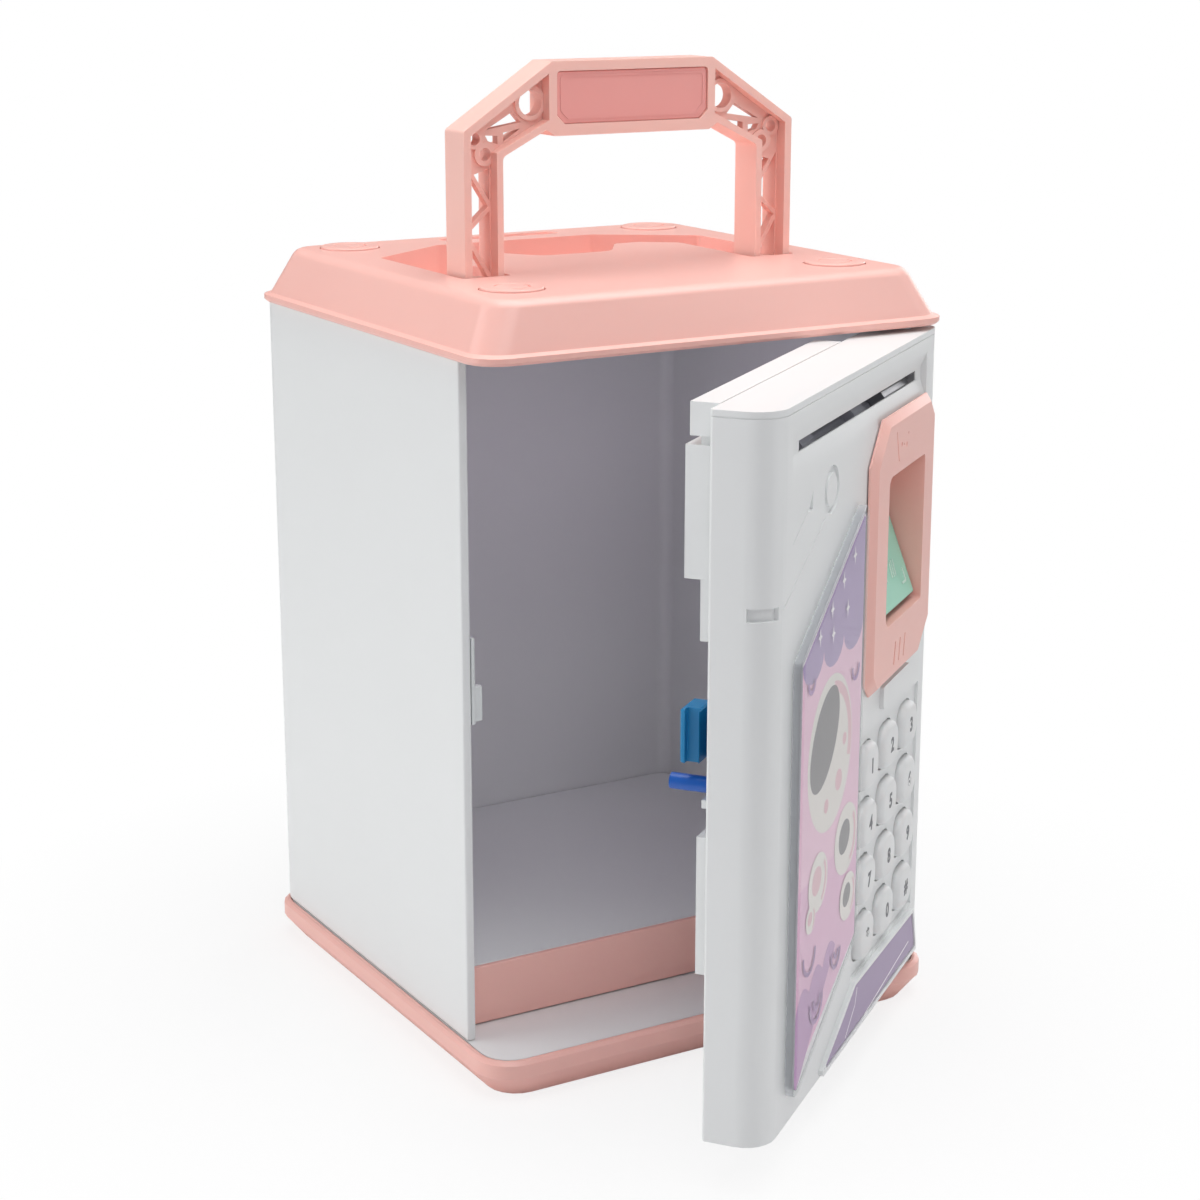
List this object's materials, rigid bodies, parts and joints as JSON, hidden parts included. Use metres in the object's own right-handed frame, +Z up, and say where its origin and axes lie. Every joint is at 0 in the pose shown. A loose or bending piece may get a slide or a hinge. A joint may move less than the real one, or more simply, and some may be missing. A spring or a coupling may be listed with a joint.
{
  "type": "toy safe coin bank",
  "caption": "Toy cash safe with a hinged front door, folding carrying handle, key pad, fingerprint pad, banknote feed slot and a coin slot in the lid.",
  "frame": {"origin": "middle of the base's flat underside, which stands on the floor", "axes": "+Z up, +X to the right seen from the door side, +Y from the door towards the back; the door closes the -Y side and its hinge is at +X"},
  "size_m": [0.1354, 0.2045, 0.2494],
  "materials": {
    "pink_plastic": "semi-gloss moulded",
    "white_plastic": "semi-gloss moulded",
    "key_plastic": "satin moulded, grey numbers",
    "clear_plastic": "clear polished plastic",
    "card_print": "printed card",
    "lilac_plastic": "satin film",
    "mint_plastic": "satin moulded",
    "blue_plastic": "moulded",
    "grey_plastic": "moulded",
    "strike_plastic": "moulded",
    "board": "solder-masked board",
    "membrane": "silicone",
    "rubber": "moulded",
    "steel": "zinc plated",
    "cell": "shrink wrap",
    "speaker": "paper cone"
  },
  "bodies": {
    "housing": {"base_tray": "pink_plastic", "ledge_plate": "white_plastic", "base_screw_fl": "steel", "base_screw_fr": "steel", "base_screw_bl": "steel", "base_screw_br": "steel", "floor_box": "pink_plastic", "floor_liner": "white_plastic", "wall_shell": "white_plastic", "latch_strike": "strike_plastic", "lid_cover": "pink_plastic", "ceiling_plate": "white_plastic", "lid_cap_fl": "pink_plastic", "lid_cap_fr": "pink_plastic", "lid_cap_bl": "pink_plastic", "lid_cap_br": "pink_plastic"},
    "handle": {"handle_frame": "pink_plastic", "handle_pin_left": "steel", "handle_pin_right": "steel"},
    "door": {"door_front": "white_plastic", "door_back": "white_plastic", "door_screw_tl": "steel", "door_screw_tr": "steel", "door_screw_bl": "steel", "door_screw_br": "steel", "hinge_pin_bottom": "steel", "hinge_pin_top": "steel", "fingerprint_bezel": "pink_plastic", "card_window": "clear_plastic", "card_print": "card_print", "lower_badge": "lilac_plastic", "feed_motor": "steel", "circuit_board": "board", "key_membrane": "membrane", "battery_1": "cell", "battery_2": "cell", "battery_tray": "grey_plastic", "battery_cover": "white_plastic", "battery_screw": "steel", "speaker": "speaker", "latch_motor": "steel"},
    "button_1": {"key_1": "key_plastic"},
    "button_2": {"key_2": "key_plastic"},
    "button_3": {"key_3": "key_plastic"},
    "button_4": {"key_4": "key_plastic"},
    "button_5": {"key_5": "key_plastic"},
    "button_6": {"key_6": "key_plastic"},
    "button_7": {"key_7": "key_plastic"},
    "button_8": {"key_8": "key_plastic"},
    "button_9": {"key_9": "key_plastic"},
    "button_star": {"key_star": "key_plastic"},
    "button_0": {"key_0": "key_plastic"},
    "button_hash": {"key_hash": "key_plastic"},
    "reader_pad": {"fingerprint_pad": "mint_plastic"},
    "feed_shaft": {"feed_roller": "rubber"},
    "pinch_shaft": {"pinch_roller": "rubber"},
    "latch": {"latch_bolt": "blue_plastic", "release_pin": "blue_plastic"}
  },
  "joints": [
    {"name": "door_hinge", "type": "hinge", "parent": "housing", "child": "door", "pos_m": [0.0573, -0.0592, 0.097], "axis": [0, 0, 1], "range_deg": [-37.5, 82.5]},
    {"name": "handle_fold", "type": "hinge", "parent": "housing", "child": "handle", "pos_m": [0, -0.016, 0.1928], "axis": [-1, 0, 0], "range_deg": [0, 90]},
    {"name": "press_1", "type": "slide", "parent": "door", "child": "button_1", "axis": [-0.6088, 0.7934, 0], "range_m": [0, 0.0008], "stiffness_N_per_m": 300},
    {"name": "press_2", "type": "slide", "parent": "door", "child": "button_2", "axis": [-0.6088, 0.7934, 0], "range_m": [0, 0.0008], "stiffness_N_per_m": 300},
    {"name": "press_3", "type": "slide", "parent": "door", "child": "button_3", "axis": [-0.6088, 0.7934, 0], "range_m": [0, 0.0008], "stiffness_N_per_m": 300},
    {"name": "press_4", "type": "slide", "parent": "door", "child": "button_4", "axis": [-0.6088, 0.7934, 0], "range_m": [0, 0.0008], "stiffness_N_per_m": 300},
    {"name": "press_5", "type": "slide", "parent": "door", "child": "button_5", "axis": [-0.6088, 0.7934, 0], "range_m": [0, 0.0008], "stiffness_N_per_m": 300},
    {"name": "press_6", "type": "slide", "parent": "door", "child": "button_6", "axis": [-0.6088, 0.7934, 0], "range_m": [0, 0.0008], "stiffness_N_per_m": 300},
    {"name": "press_7", "type": "slide", "parent": "door", "child": "button_7", "axis": [-0.6088, 0.7934, 0], "range_m": [0, 0.0008], "stiffness_N_per_m": 300},
    {"name": "press_8", "type": "slide", "parent": "door", "child": "button_8", "axis": [-0.6088, 0.7934, 0], "range_m": [0, 0.0008], "stiffness_N_per_m": 300},
    {"name": "press_9", "type": "slide", "parent": "door", "child": "button_9", "axis": [-0.6088, 0.7934, 0], "range_m": [0, 0.0008], "stiffness_N_per_m": 300},
    {"name": "press_star", "type": "slide", "parent": "door", "child": "button_star", "axis": [-0.6088, 0.7934, 0], "range_m": [0, 0.0008], "stiffness_N_per_m": 300},
    {"name": "press_0", "type": "slide", "parent": "door", "child": "button_0", "axis": [-0.6088, 0.7934, 0], "range_m": [0, 0.0008], "stiffness_N_per_m": 300},
    {"name": "press_hash", "type": "slide", "parent": "door", "child": "button_hash", "axis": [-0.6088, 0.7934, 0], "range_m": [0, 0.0008], "stiffness_N_per_m": 300},
    {"name": "press_reader_pad", "type": "slide", "parent": "door", "child": "reader_pad", "axis": [-0.572, 0.7455, -0.342], "range_m": [0, 0.0008], "stiffness_N_per_m": 300},
    {"name": "feed_spin", "type": "hinge", "parent": "door", "child": "feed_shaft", "pos_m": [0.01148, -0.09361, 0.16755], "axis": [0.7934, 0.6088, 0], "continuous": true},
    {"name": "pinch_spin", "type": "hinge", "parent": "door", "child": "pinch_shaft", "pos_m": [0.01148, -0.09361, 0.17475], "axis": [0.7934, 0.6088, 0], "continuous": true},
    {"name": "latch_slide", "type": "slide", "parent": "door", "child": "latch", "axis": [-0.7934, -0.6088, 0], "range_m": [0, 0.0026]}
  ],
  "couplings": [
    {"joint": "pinch_spin", "follows": "feed_spin", "ratio": -1.6154}
  ]
}
